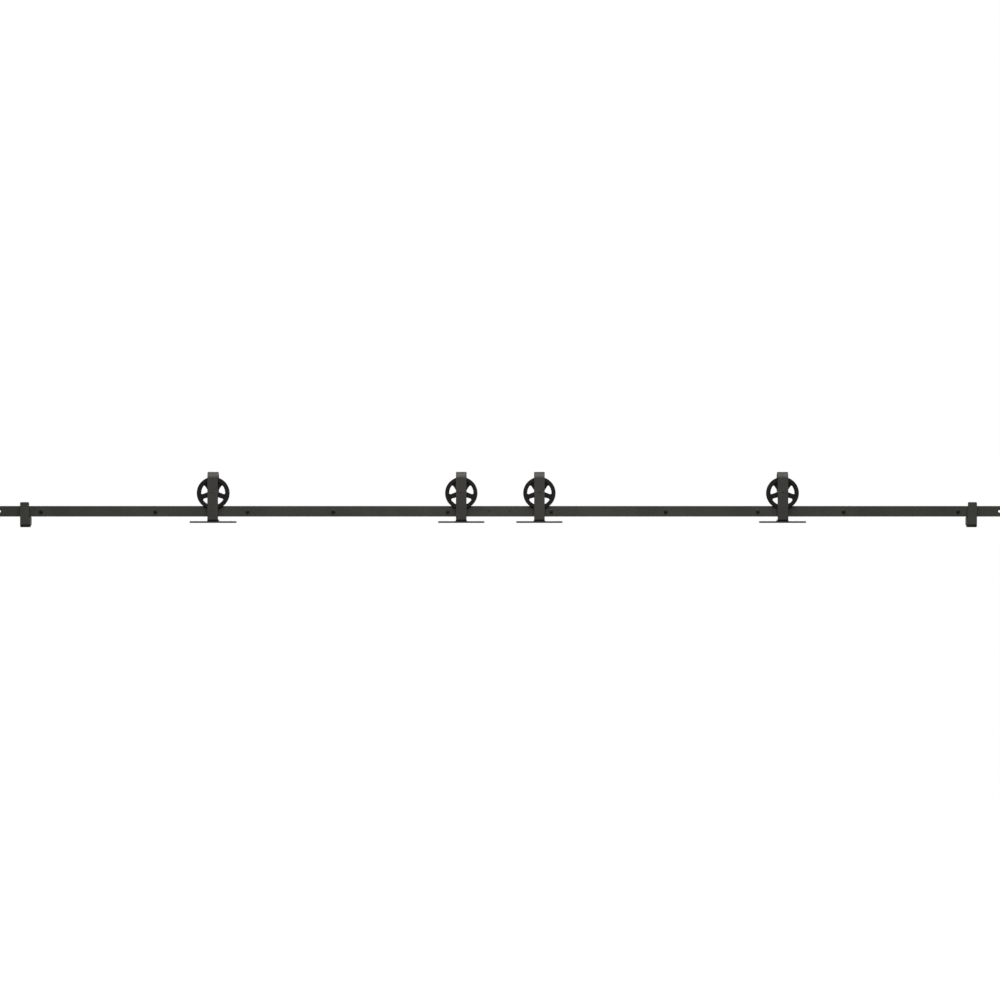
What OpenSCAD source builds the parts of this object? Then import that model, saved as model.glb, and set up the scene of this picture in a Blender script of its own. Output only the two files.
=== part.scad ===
// Sliding barn door hardware for two doors: a flat track in two lengths on wall spacers,
// four top-mount hangers with spoked wheels, and an end stop near each end.
// The origin is on the wall at the middle of the track. X runs along the track,
// +Y goes into the wall and +Z is up, so the front of everything faces -Y.

/* [Track] */
// Length of one rail; two meet end to end
rail_len = 1829; // [1780:1:1950]
// Height of the flat bar
rail_h = 38; // [36:0.5:42]
// Thickness of the flat bar
rail_t = 6; // [5:0.5:7]
// Distance from the wall to the back of the bar
standoff = 38; // [36:0.5:46]
// Distance from a rail's end to its first wall hole
hole_inset = 185.5; // [150:0.5:220]
// Distance between each outer pair of wall holes
hole_pitch = 410; // [380:1:440]
// Distance from a rail's middle to its middle wall hole, to the right
middle_offset = 11.5; // [-15:0.5:35]
// Distance from a rail's end to its countersunk joining hole
end_inset = 35.5; // [30:0.5:40]

/* [Wall fixings] */
// Diameter of a lag bolt's plain shank
lag_d = 6.4; // [6:0.1:7]
// Depth of a lag bolt in the wall
lag_depth = 50; // [40:1:70]
// Outer diameter of the spacers and washers
spacer_d = 13; // [12:0.5:14]

/* [Hangers] */
// Width of the bent strap
strap_w = 38; // [34:1:42]
// Thickness of the strap
strap_t = 6; // [5:0.5:7]
// Clearance between the wheel and each leg of the strap
side_gap = 4; // [3:0.5:5]
// Clearance between the wheel's top and the bend above it
top_gap = 12.5; // [8:0.5:20]
// Clear height between the rail and the strap's foot
foot_drop = 10.5; // [8:0.5:30]
// Length of the plate on the door's top edge
plate_len = 165; // [140:1:180]
// Depth of that plate, from front to back
plate_depth = 40; // [38:1:42]

/* [Wheels] */
// Radius at the bottom of the groove, where it rolls
groove_r = 46; // [44:0.5:60]
// Metal left between the bottom of the groove and the opening between the spokes
rim_floor = 2; // [2:0.5:5]
// Width of the wheel
wheel_w = 24; // [22:0.5:28]
// Radius of the hub
hub_r = 19; // [18.5:0.5:21]
// Width of a spoke at the hub
spoke_w = 19; // [14:0.5:20]

/* [End stops] */
// Width of a stop's bent strap
stop_w = 32; // [30:1:40]
// Thickness of that strap
stop_t = 6; // [4:0.5:7]
// Depth of a stop from front to back
stop_depth = 49; // [42:0.5:58]
// Height of a stop's front leg above the rail
stop_rise = 14; // [5:1:20]
// Distance from the door plates' underside down to a stop's
stop_drop = 15.5; // [15.5:0.5:25]
// Distance from the track's left end to the left stop's middle
left_stop_inset = 129; // [100:1:140]
// Distance from the track's right end to the right stop's middle
right_stop_inset = 136; // [100:1:140]

/* [Hidden] */
$fn = 96;
SIDES = ["left", "right"];
STOP_PARTS = ["stop_strap", "stop_buffer", "stop_buffer_screw", "stop_pads", "stop_set_screws"];
HANGER_PARTS = [
    "strap", "door_plate", "axle_bolt", "axle_nut", "axle_bushes",
    "bearing_inner", "bearing_outer", "bearing_balls", "bearing_circlip", "wheel"
];
HANGERS = [1, 2, 3, 4];

// Where the hangers and the two stops stand along the track
hanger_x = [-1027, -137, 143, 1015];
stop_x = [left_stop_inset - rail_len, rail_len - right_stop_inset];

// Depths from front to back
rail_back = -standoff;
rail_front = rail_back - rail_t;
mid_y = (rail_back + rail_front) / 2;

// Track and fixings
rail_gap = 0.2;
bolt_hole_r = lag_d / 2 + 0.3;
end_hole_r = 4.5;
sink_r = 8;
sink_depth = 3.5;
hole_insets = [
    hole_inset, hole_inset + hole_pitch, rail_len / 2 + middle_offset,
    rail_len - hole_inset - hole_pitch, rail_len - hole_inset
];
wall_x = concat([for (d = hole_insets) d - rail_len], hole_insets);
washer_t = 1.6;
lag_head_flats = lag_d + 4.7;
lag_head_h = 5.5;
fixing_r = max(spacer_d / 2, lag_head_flats / 2 / cos(30));
lag_thread_r = lag_d / 2 - 0.3;
lag_point = 8;
join_len = 120;
join_t = 6;
join_clear = 1.7;
join_screw_r = 3.95;

// The wheel stands on the rail, and its flanges pass just above the wall fixings
roll_gap = 0.2;
flange_clear = 0.7;
axle_z = rail_h / 2 + groove_r + roll_gap;
flange_bottom = fixing_r + flange_clear;
flange_r = axle_z - flange_bottom;
join_top = flange_bottom - join_clear;
join_bottom = 2 - rail_h / 2;

// Hanger
leg_in = wheel_w / 2 + side_gap;
leg_out = leg_in + strap_t;
bend_z = axle_z + flange_r + top_gap - leg_in;
foot_top = -rail_h / 2 - foot_drop;
foot_bottom = foot_top - strap_t;
foot_bend_in = 1.5;
foot_bend_out = foot_bend_in + strap_t;
plate_t = 6;
plate_hole_r = 3.2;
plate_sink_r = 6;
plate_hole_x = plate_len / 2 - 17.5;
plate_hole_y = plate_depth / 2 - 9;
plate_bottom = foot_bottom - plate_t;

// Axle and its 10 x 30 x 9 mm ball bearing
axle_r = 4.97;
axle_hole_r = 5.1;
axle_head_r = 9.8;
axle_head_h = 5;
nut_h = 8;
nut_flats = 15;
nut_flange_r = 10.5;
nut_flange_t = 1.5;
bearing_w = 9;
bearing_in_r = 5;
bearing_out_r = 14.98;
race_in_r = 7.9;
race_out_r = 12.1;
ball_r = 2.4;
ball_path_r = 10;
ball_groove_r = 2.46;
balls = 8;
bush_r = 7;
clip_t = 1.1;
clip_in_r = 12.6;
clip_out_r = 15.8;

// Wheel
groove_w = rail_t + 2;
groove_mouth_w = wheel_w - 6;
rim_in_r = groove_r - rim_floor;
spoke_t = 12;
spoke_tip_w = spoke_w - 2;
rim_fillet = 5;
hub_w = wheel_w - 2;
pocket_r = 15;
lip_r = 12;

// Stops: a U of strap under the rail, clamped by a pad on each side of it
stop_top = rail_h / 2 + stop_rise;
stop_bottom = stop_drop - plate_bottom;
stop_bend_out = 12;
stop_bend_in = stop_bend_out - stop_t;
stop_front = mid_y - stop_depth / 2;
stop_back = mid_y + stop_depth / 2;
stop_rear_top = rail_h / 2 - 4;
stop_corner = 4;
pad_w = stop_w - 4;
pad_h = rail_h - 8;
buffer_top = -rail_h / 2 - 2;
buffer_reach = 3;
buffer_gap = 0.1;
buffer_screw_r = 2.35;
buffer_head_r = 5.2;
set_screw_r = 3;
set_screw_len = 12;
set_screw_sink = 2;
set_screw_pitch = 16;

// Extrudes a front-to-back outline (x is depth, y is height) along the track
module along_x(length) {
    rotate([90, 0, 90])
        linear_extrude(length, center = true)
            children();
}

// Extrudes an outline seen from the front, between two depths
module along_y(y0, y1) {
    translate([0, y1, 0])
        rotate([90, 0, 0])
            linear_extrude(y1 - y0)
                children();
}

// A round bar or bore between two depths; r2 makes it a cone
module rod_y(y0, y1, r, r2 = undef, sides = $fn) {
    translate([0, y0, 0])
        rotate([-90, 0, 0])
            cylinder(h = y1 - y0, r1 = r, r2 = is_undef(r2) ? r : r2, $fn = sides);
}

// A hexagonal bar between two depths
module hex_y(y0, y1, flats) {
    rod_y(y0, y1, flats / 2 / cos(30), sides = 6);
}

// A rectangle between two corners
module box2(x0, y0, x1, y1) {
    translate([x0, y0])
        square([x1 - x0, y1 - y0]);
}

// A quarter of a bent strip, centred on the origin; sx and sy choose the quadrant
module bend2(r_in, r_out, sx, sy) {
    intersection() {
        difference() {
            circle(r_out);
            circle(r_in);
        }
        translate([sx < 0 ? -r_out : 0, sy < 0 ? -r_out : 0])
            square(r_out);
    }
}

// A rectangle with two round corners at its top
module round_top2(w, y0, y1, r) {
    box2(-w / 2, y0, w / 2, y1 - r);
    box2(-w / 2 + r, y1 - r, w / 2 - r, y1);
    for (s = [-1, 1])
        translate([s * (w / 2 - r), y1 - r])
            circle(r);
}

// ---- Track ----

module rail(x0, holes) {
    color("#3a3834")
        difference() {
            translate([x0 + rail_gap / 2, rail_front, -rail_h / 2])
                cube([rail_len - rail_gap, rail_t, rail_h]);
            for (x = holes)
                translate([x, 0, 0])
                    rod_y(rail_front - 1, rail_back + 1, bolt_hole_r);
            for (x = [x0 + end_inset, x0 + rail_len - end_inset])
                translate([x, 0, 0]) {
                    rod_y(rail_front - 1, rail_back + 1, end_hole_r);
                    rod_y(rail_front - 0.01, rail_front + sink_depth, sink_r, end_hole_r);
                }
        }
}

module left_rail() {
    rail(-rail_len, [for (x = wall_x) if (x < 0) x]);
}

module right_rail() {
    rail(0, [for (x = wall_x) if (x > 0) x]);
}

module join_plate() {
    color("#2b2a27")
        difference() {
            translate([-join_len / 2, rail_back, join_bottom])
                cube([join_len, join_t, join_top - join_bottom]);
            for (s = [-1, 1])
                translate([s * end_inset, 0, 0])
                    rod_y(rail_back - 1, rail_back + join_t + 1, join_screw_r + 0.05);
        }
}

module join_screws() {
    color("#1f1e1c")
        for (s = [-1, 1])
            translate([s * end_inset, 0, 0])
                difference() {
                    union() {
                        rod_y(rail_front, rail_front + sink_depth, sink_r - 0.3, join_screw_r);
                        rod_y(rail_front + 1, rail_back + join_t + 2, join_screw_r);
                    }
                    hex_y(rail_front - 1, rail_front + 2.5, 5);
                }
}

// ---- Wall fixings ----

module wall_spacers() {
    color("#2b2a27")
        for (x = wall_x)
            translate([x, 0, 0])
                difference() {
                    rod_y(rail_back, 0, spacer_d / 2);
                    rod_y(rail_back - 1, 1, bolt_hole_r);
                }
}

module lag_washers() {
    color("#232220")
        for (x = wall_x)
            translate([x, 0, 0])
                difference() {
                    rod_y(rail_front - washer_t, rail_front, spacer_d / 2);
                    rod_y(rail_front - washer_t - 1, rail_front + 1, bolt_hole_r);
                }
}

module lag_bolts() {
    seat = rail_front - washer_t;
    color("#1f1e1c")
        for (x = wall_x)
            translate([x, 0, 0]) {
                hex_y(seat - lag_head_h, seat, lag_head_flats);
                rod_y(seat - 1, 0, lag_d / 2);
                rod_y(-1, lag_depth - lag_point, lag_thread_r);
                rod_y(lag_depth - lag_point, lag_depth, lag_thread_r, 0.5);
            }
}

// ---- Hangers, made at x = 0 and the height of the axle ----

module strap() {
    color("#3a3834")
        difference() {
            union() {
                translate([0, mid_y, 0])
                    along_x(strap_w) {
                        box2(-leg_out, foot_bottom + foot_bend_out, -leg_in, bend_z);
                        translate([0, bend_z]) {
                            bend2(leg_in, leg_out, -1, 1);
                            bend2(leg_in, leg_out, 1, 1);
                        }
                        translate([-leg_out + foot_bend_out, foot_bottom + foot_bend_out])
                            bend2(foot_bend_in, foot_bend_out, -1, -1);
                        box2(-leg_out + foot_bend_out, foot_bottom, plate_depth / 2, foot_top);
                    }
                along_y(mid_y + leg_in, mid_y + leg_out) {
                    box2(-strap_w / 2, axle_z, strap_w / 2, bend_z);
                    translate([0, axle_z])
                        circle(strap_w / 2);
                }
            }
            translate([0, 0, axle_z]) {
                rod_y(mid_y - leg_out - 1, mid_y + leg_out + 1, axle_hole_r);
                rod_y(mid_y - leg_out - 0.01, mid_y - leg_out + axle_head_h, axle_head_r + 0.2, axle_hole_r);
            }
        }
}

module door_plate() {
    color("#3a3834")
        difference() {
            translate([-plate_len / 2, mid_y - plate_depth / 2, plate_bottom])
                cube([plate_len, plate_depth, plate_t]);
            for (sx = [-1, 1], sy = [-1, 1])
                translate([sx * plate_hole_x, mid_y + sy * plate_hole_y, plate_bottom]) {
                    translate([0, 0, -1])
                        cylinder(h = plate_t + 2, r = plate_hole_r);
                    translate([0, 0, plate_t - 2.5])
                        cylinder(h = 2.51, r1 = plate_hole_r, r2 = plate_sink_r);
                }
        }
}

module axle_bolt() {
    front = mid_y - leg_out;
    color("#1f1e1c")
        translate([0, 0, axle_z])
            difference() {
                union() {
                    rod_y(front, front + axle_head_h, axle_head_r, axle_r);
                    rod_y(front + 1, mid_y + leg_out + nut_h + 1.5, axle_r);
                }
                hex_y(front - 1, front + 3.5, 6);
            }
}

module axle_nut() {
    back = mid_y + leg_out;
    color("#1f1e1c")
        translate([0, 0, axle_z])
            difference() {
                union() {
                    rod_y(back, back + nut_flange_t, nut_flange_r);
                    hex_y(back + nut_flange_t - 0.01, back + nut_h, nut_flats);
                }
                rod_y(back - 1, back + nut_h + 1, axle_r + 0.03);
            }
}

module axle_bushes() {
    color("silver")
        for (s = [0, 1])
            translate([0, mid_y, axle_z])
                mirror([0, s, 0])
                    difference() {
                        rod_y(bearing_w / 2, leg_in, bush_r);
                        rod_y(bearing_w / 2 - 1, leg_in + 1, axle_hole_r);
                    }
}

// One ring of the bearing, between two radii, with its ball groove
module bearing_ring(r_in, r_out) {
    color("silver")
        translate([0, mid_y, axle_z])
            rotate([-90, 0, 0])
                rotate_extrude()
                    difference() {
                        box2(r_in, -bearing_w / 2, r_out, bearing_w / 2);
                        translate([ball_path_r, 0])
                            circle(ball_groove_r);
                    }
}

module bearing_balls() {
    color("silver")
        translate([0, mid_y, axle_z])
            for (i = [0 : balls - 1])
                rotate([0, i * 360 / balls, 0])
                    translate([ball_path_r, 0, 0])
                        sphere(ball_r, $fn = 48);
}

module bearing_circlip() {
    y0 = mid_y + bearing_w / 2 + 0.05;
    color("#1f1e1c")
        translate([0, 0, axle_z])
            difference() {
                rod_y(y0, y0 + clip_t, clip_out_r);
                rod_y(y0 - 1, y0 + clip_t + 1, clip_in_r);
                translate([-2.5, y0 - 1, clip_in_r - 2])
                    cube([5, clip_t + 2, 8]);
            }
}

// Half of the curved root where a spoke of width w runs into the rim
module rim_root2(w) {
    centre = [sqrt(pow(rim_in_r - rim_fillet, 2) - pow(w / 2 + rim_fillet, 2)), w / 2 + rim_fillet];
    touch = centre * rim_in_r / norm(centre);
    difference() {
        polygon([[centre.x, w / 2], centre, touch, [rim_in_r + 1, touch.y], [rim_in_r + 1, w / 2]]);
        translate(centre)
            circle(rim_fillet);
    }
}

// A tapered spoke along +X with its rounded roots at the rim
module spoke2() {
    polygon([
        [0, -spoke_w / 2], [rim_in_r + 1, -spoke_tip_w / 2],
        [rim_in_r + 1, spoke_tip_w / 2], [0, spoke_w / 2]
    ]);
    for (m = [0, 1])
        mirror([0, m])
            rim_root2(spoke_tip_w);
}

module wheel() {
    color("#23211e")
        translate([0, mid_y, axle_z])
            difference() {
                union() {
                    rotate([-90, 0, 0])
                        rotate_extrude()
                            polygon([
                                [rim_in_r, -wheel_w / 2], [flange_r - 1, -wheel_w / 2], [flange_r, -wheel_w / 2 + 1],
                                [flange_r, -groove_mouth_w / 2], [groove_r, -groove_w / 2],
                                [groove_r, groove_w / 2], [flange_r, groove_mouth_w / 2],
                                [flange_r, wheel_w / 2 - 1], [flange_r - 1, wheel_w / 2], [rim_in_r, wheel_w / 2]
                            ]);
                    rod_y(-hub_w / 2, hub_w / 2, hub_r);
                    along_y(-spoke_t / 2, spoke_t / 2)
                        for (i = [0 : 4])
                            rotate(-90 + 72 * i)
                                intersection() {
                                    spoke2();
                                    circle(rim_in_r + 0.5);
                                }
                }
                rod_y(-wheel_w, 0, lip_r);
                rod_y(-bearing_w / 2, wheel_w, pocket_r);
                rod_y(bearing_w / 2, bearing_w / 2 + clip_t + 0.1, clip_out_r + 0.1);
            }
}

module hanger_part(part) {
    if (part == "strap") strap();
    if (part == "door_plate") door_plate();
    if (part == "axle_bolt") axle_bolt();
    if (part == "axle_nut") axle_nut();
    if (part == "axle_bushes") axle_bushes();
    if (part == "bearing_inner") bearing_ring(bearing_in_r, race_in_r);
    if (part == "bearing_outer") bearing_ring(race_out_r, bearing_out_r);
    if (part == "bearing_balls") bearing_balls();
    if (part == "bearing_circlip") bearing_circlip();
    if (part == "wheel") wheel();
}

// ---- End stops, made at x = 0 with the buffer reaching towards +X ----

module stop_strap() {
    color("#302e2b")
        difference() {
            union() {
                along_x(stop_w) {
                    bend_y = -stop_bottom + stop_bend_out;
                    translate([stop_front + stop_bend_out, bend_y])
                        bend2(stop_bend_in, stop_bend_out, -1, -1);
                    translate([stop_back - stop_bend_out, bend_y])
                        bend2(stop_bend_in, stop_bend_out, 1, -1);
                    box2(stop_front + stop_bend_out, -stop_bottom, stop_back - stop_bend_out, -stop_bottom + stop_t);
                }
                along_y(stop_front, stop_front + stop_t)
                    round_top2(stop_w, -stop_bottom + stop_bend_out, stop_top, stop_corner);
                along_y(stop_back - stop_t, stop_back)
                    round_top2(stop_w, -stop_bottom + stop_bend_out, stop_rear_top, stop_corner);
            }
            for (s = [-1, 1])
                translate([s * set_screw_pitch / 2, 0, 0])
                    rod_y(stop_back - stop_t - 1, stop_back + 1, set_screw_r + 0.05);
            translate([0, mid_y, -stop_bottom]) {
                translate([0, 0, -1])
                    cylinder(h = stop_t + 2, r = buffer_screw_r + 0.2);
                translate([0, 0, -0.5])
                    cylinder(h = 3.5, r1 = buffer_head_r + 0.7, r2 = buffer_screw_r + 0.2);
            }
        }
}

module stop_buffer() {
    r = stop_bend_in - buffer_gap;
    inner_front = stop_front + stop_t;
    inner_back = stop_back - stop_t;
    bend_y = -stop_bottom + stop_bend_out;
    color("#161615")
        translate([buffer_reach / 2, 0, 0])
            difference() {
                along_x(stop_w + buffer_reach) {
                    box2(inner_front + buffer_gap, bend_y, inner_back - buffer_gap, buffer_top);
                    box2(inner_front + stop_bend_in, bend_y - r, inner_back - stop_bend_in, bend_y);
                    for (y = [inner_front + stop_bend_in, inner_back - stop_bend_in])
                        translate([y, bend_y])
                            circle(r);
                }
                translate([-buffer_reach / 2, mid_y, bend_y - r - 1])
                    cylinder(h = 14, r = buffer_screw_r + 0.05);
            }
}

module stop_buffer_screw() {
    color("#1f1e1c")
        translate([0, mid_y, -stop_bottom])
            difference() {
                union() {
                    cylinder(h = 3, r1 = buffer_head_r, r2 = buffer_screw_r);
                    translate([0, 0, 2])
                        cylinder(h = stop_t + 10, r = buffer_screw_r);
                }
                translate([0, 0, -1])
                    cylinder(h = 2.8, r = 1.5 / cos(30), $fn = 6);
            }
}

module stop_pads() {
    inner_front = stop_front + stop_t;
    inner_back = stop_back - stop_t;
    color("#1b1b1a")
        difference() {
            union() {
                along_y(inner_front, rail_front)
                    square([pad_w, pad_h], center = true);
                along_y(rail_back, inner_back)
                    square([pad_w, pad_h], center = true);
            }
            for (s = [-1, 1])
                translate([s * set_screw_pitch / 2, 0, 0])
                    rod_y(inner_back - set_screw_sink, inner_back + 1, set_screw_r + 0.05);
        }
}

module stop_set_screws() {
    tip = stop_back - stop_t - set_screw_sink;
    color("#1f1e1c")
        for (s = [-1, 1])
            translate([s * set_screw_pitch / 2, 0, 0])
                difference() {
                    rod_y(tip, tip + set_screw_len, set_screw_r);
                    hex_y(tip + set_screw_len - 3, tip + set_screw_len + 1, 3);
                }
}

module stop_part(part) {
    if (part == "stop_strap") stop_strap();
    if (part == "stop_buffer") stop_buffer();
    if (part == "stop_buffer_screw") stop_buffer_screw();
    if (part == "stop_pads") stop_pads();
    if (part == "stop_set_screws") stop_set_screws();
}

left_rail();
right_rail();
join_plate();
join_screws();
wall_spacers();
lag_bolts();
lag_washers();
for (s = [0, 1], part = STOP_PARTS)
    translate([stop_x[s], 0, 0])
            mirror([s, 0, 0])
                stop_part(part);
for (n = HANGERS, part = HANGER_PARTS)
    translate([hanger_x[n - 1], 0, 0])
            hanger_part(part);
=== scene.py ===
"""Sliding barn door hardware: the visible meshes, their finishes, the camera and the light.

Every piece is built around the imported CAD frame, in metres, with +X along the track, +Y into the wall and +Z up.
"""
import logging
import math
from collections.abc import Callable, Iterable, Sequence
from dataclasses import dataclass, field
from enum import Enum
from functools import cache

import bmesh
import bpy
from mathutils import Matrix, Vector
from mathutils.geometry import tessellate_polygon


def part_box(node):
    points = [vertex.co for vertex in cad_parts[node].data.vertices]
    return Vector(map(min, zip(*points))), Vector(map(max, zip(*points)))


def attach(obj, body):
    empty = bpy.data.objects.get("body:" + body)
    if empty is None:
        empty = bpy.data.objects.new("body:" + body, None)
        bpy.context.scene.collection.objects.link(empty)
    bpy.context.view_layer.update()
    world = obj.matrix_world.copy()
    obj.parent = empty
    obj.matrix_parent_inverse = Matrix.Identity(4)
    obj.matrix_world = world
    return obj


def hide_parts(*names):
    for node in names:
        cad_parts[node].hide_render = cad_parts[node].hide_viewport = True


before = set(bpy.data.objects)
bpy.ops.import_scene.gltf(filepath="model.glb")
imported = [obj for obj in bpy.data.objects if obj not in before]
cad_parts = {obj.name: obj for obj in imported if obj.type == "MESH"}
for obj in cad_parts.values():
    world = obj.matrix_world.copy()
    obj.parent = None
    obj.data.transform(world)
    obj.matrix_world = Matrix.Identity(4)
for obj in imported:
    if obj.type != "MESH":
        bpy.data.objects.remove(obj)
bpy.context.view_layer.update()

LOG = logging.getLogger("barn_door_hardware")
MM = 0.001
TAU = 2 * math.pi

Point2 = tuple[float, float]
Colour = tuple[float, float, float]
Layer = tuple[float, list[Point2]]
Placer = Callable[[float, float, float], Vector]
Mesh = bmesh.types.BMesh
Corner = bmesh.types.BMVert
Socket = bpy.types.NodeSocket


class Side(Enum):
    """The two ends of the track; the value is the direction from that end's stop towards the doors."""

    LEFT = 1
    RIGHT = -1

    @property
    def label(self) -> str:
        """The side's name as the CAD nodes spell it."""
        return self.name.lower()


class Slot(Enum):
    """The record's material slots."""

    TRACK = "track_powder_coat"
    STRAP = "strap_powder_coat"
    STOP = "stop_powder_coat"
    WHEEL = "cast_wheel"
    FASTENER = "black_fasteners"
    BEARING = "bearing_steel"
    BUSH = "bright_steel"
    RUBBER = "buffer_rubber"
    NYLON = "pad_nylon"


# ---- Finishes ----


class NodeBook:
    """A node tree, with short calls to add and wire nodes."""

    def __init__(self, tree: bpy.types.NodeTree) -> None:
        """Empty the tree and keep it."""
        self.tree = tree
        self.tree.nodes.clear()

    def add(self, kind: str, inputs: dict | None = None, **settings: object) -> bpy.types.Node:
        """Add a node.

        Args:
            kind: The node's type name.
            inputs: Socket name or number to a value, or to another node's output socket.
            settings: Properties of the node itself.

        Returns:
            The new node.
        """
        node = self.tree.nodes.new(kind)
        node.location = (180 * len(self.tree.nodes), 0)
        for key, value in settings.items():
            setattr(node, key, value)
        for key, value in (inputs or {}).items():
            if isinstance(value, Socket):
                self.tree.links.new(value, node.inputs[key])
            else:
                node.inputs[key].default_value = value
        return node

    def math(self, operation: str, first: object, second: object) -> Socket:
        """One arithmetic step."""
        return self.add("ShaderNodeMath", {0: first, 1: second}, operation=operation).outputs[0]


class NodeSheet(NodeBook):
    """A material's node tree, with calls for the patterns that the finishes share."""

    def __init__(self, name: str) -> None:
        """Start an empty material with that name."""
        self.material = bpy.data.materials.new(name)
        self.material.use_nodes = True
        super().__init__(self.material.node_tree)

    def coords(self) -> Socket:
        """The piece's own coordinates, in metres."""
        return self.add("ShaderNodeTexCoord").outputs["Object"]

    def noise(self, scale: float, detail: float = 3, rough: float = 0.5) -> Socket:
        """A noise value with that many features a metre."""
        inputs = {"Vector": self.coords(), "Scale": scale, "Detail": detail, "Roughness": rough}
        return self.add("ShaderNodeTexNoise", inputs).outputs["Fac"]

    def spread(self, value: Socket, low: float, high: float,
               to_low: float, to_high: float) -> Socket:
        """Map the range low..high of a value onto to_low..to_high, clamped."""
        inputs = {"Value": value, "From Min": low, "From Max": high, "To Min": to_low, "To Max": to_high}
        return self.add("ShaderNodeMapRange", inputs).outputs["Result"]

    def blend(self, factor: Socket, first: object, second: object) -> Socket:
        """Mix two colours."""
        inputs = {0: factor, 6: first, 7: second}
        return self.add("ShaderNodeMix", inputs, data_type="RGBA").outputs[2]

    def edges(self, radius: float) -> Socket:
        """1 on edges sharper than that radius, 0 on flats.

        Args:
            radius: How far the edge search reaches, in metres.

        Returns:
            A value socket.
        """
        round_normal = self.add("ShaderNodeBevel", {"Radius": radius}, samples=6).outputs["Normal"]
        normal = self.add("ShaderNodeNewGeometry").outputs["Normal"]
        dot = self.add("ShaderNodeVectorMath", {0: round_normal, 1: normal}, operation="DOT_PRODUCT")
        return self.spread(dot.outputs["Value"], 0.995, 0.93, 0.0, 1.0)

    def bump(self, height: Socket, depth: float, strength: float = 1.0,
             under: Socket | None = None) -> Socket:
        """A bump of that depth in metres, over another one if given.

        Args:
            height: The pattern, from 0 to 1.
            depth: How deep the pattern is, in metres.
            strength: How much of it shows.
            under: The normal of a coarser bump below it.

        Returns:
            A normal socket.
        """
        inputs = {"Height": height, "Distance": depth, "Strength": strength}
        if under is not None:
            inputs["Normal"] = under
        return self.add("ShaderNodeBump", inputs).outputs["Normal"]

    def surface(self, **sockets: object) -> bpy.types.Material:
        """Finish the material with a Principled shader whose sockets take these values or links.

        Args:
            sockets: Socket names with underscores for spaces.

        Returns:
            The finished material.
        """
        inputs = {key.replace("_", " "): value for key, value in sockets.items()}
        shader = self.add("ShaderNodeBsdfPrincipled", inputs)
        self.add("ShaderNodeOutputMaterial", {"Surface": shader.outputs["BSDF"]})
        return self.material


def shade(value: float, tint: Colour = (1.0, 1.0, 1.0)) -> tuple[float, float, float, float]:
    """A linear colour of that brightness and tint."""
    return (value * tint[0], value * tint[1], value * tint[2], 1.0)


@dataclass(frozen=True)
class Finish:
    """A finish of one piece or kind of piece; each kind says how it is made."""

    name: str
    slot: Slot

    def material(self) -> bpy.types.Material:
        """The finish's material, made once."""
        return bpy.data.materials.get(self.name) or self.make(NodeSheet(self.name))

    def make(self, sheet: NodeSheet) -> bpy.types.Material:
        """Wire the material's nodes."""
        raise NotImplementedError


@dataclass(frozen=True)
class PowderCoat(Finish):
    """Baked powder paint on rolled bar: fine orange peel, slow tone changes, rubbed edges and faint scuffs."""

    tone: float = 0.03
    tint: Colour = (1.02, 1.0, 0.84)
    roughness: float = 0.5
    peel: float = 0.00006
    wear: float = 0.35

    def make(self, sheet: NodeSheet) -> bpy.types.Material:
        """Wire the material's nodes.

        Args:
            sheet: The empty material to fill.

        Returns:
            The finished material.
        """
        drift = sheet.spread(sheet.noise(9, 4), 0.35, 0.65, 0.0, 1.0)
        body = sheet.blend(drift, shade(self.tone * 0.82, self.tint), shade(self.tone * 1.18, self.tint))
        speck = sheet.spread(sheet.noise(2600, 1), 0.62, 0.74, 0.0, 0.4)
        speckled = sheet.blend(speck, body, shade(self.tone * 2.2, self.tint))
        breakup = sheet.spread(sheet.noise(160, 4, 0.7), 0.42, 0.62, 0.0, self.wear)
        rub = sheet.math("MULTIPLY", sheet.edges(0.9 * MM), breakup)
        colour = sheet.blend(rub, speckled, shade(self.tone * 5.5, self.tint))
        gloss = sheet.spread(sheet.noise(45, 5, 0.6), 0.3, 0.7, self.roughness - 0.07, self.roughness + 0.09)
        waves = sheet.bump(sheet.noise(420, 2), self.peel * 1.6, 0.7)
        grain = sheet.bump(sheet.noise(1500, 2), self.peel, 0.8, waves)
        return sheet.surface(Base_Color=colour, Roughness=gloss, Normal=grain, Specular_IOR_Level=0.4)


@dataclass(frozen=True)
class CastPaint(Finish):
    """Black enamel over a sand casting: grainy skin, small pits and soft sheen."""

    tone: float = 0.008
    tint: Colour = (1.05, 1.0, 0.85)
    roughness: float = 0.5
    grain: float = 0.00016

    def make(self, sheet: NodeSheet) -> bpy.types.Material:
        """Wire the material's nodes.

        Args:
            sheet: The empty material to fill.

        Returns:
            The finished material.
        """
        drift = sheet.spread(sheet.noise(30, 4), 0.35, 0.65, 0.0, 1.0)
        body = sheet.blend(drift, shade(self.tone * 0.75, self.tint), shade(self.tone * 1.3, self.tint))
        rub = sheet.math("MULTIPLY", sheet.edges(1.2 * MM), sheet.spread(sheet.noise(220, 3), 0.45, 0.6, 0.0, 0.3))
        colour = sheet.blend(rub, body, shade(self.tone * 7, self.tint))
        cells = sheet.add("ShaderNodeTexVoronoi", {"Vector": sheet.coords(), "Scale": 420.0}).outputs["Distance"]
        pits = sheet.bump(sheet.spread(cells, 0.0, 0.3, 0.0, 1.0), self.grain * 0.5, 0.5)
        skin = sheet.bump(sheet.noise(650, 4, 0.6), self.grain, 0.6, pits)
        gloss = sheet.spread(sheet.noise(90, 4), 0.3, 0.7, self.roughness - 0.08, self.roughness + 0.12)
        return sheet.surface(Base_Color=colour, Roughness=gloss, Normal=skin, Specular_IOR_Level=0.22)


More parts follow.
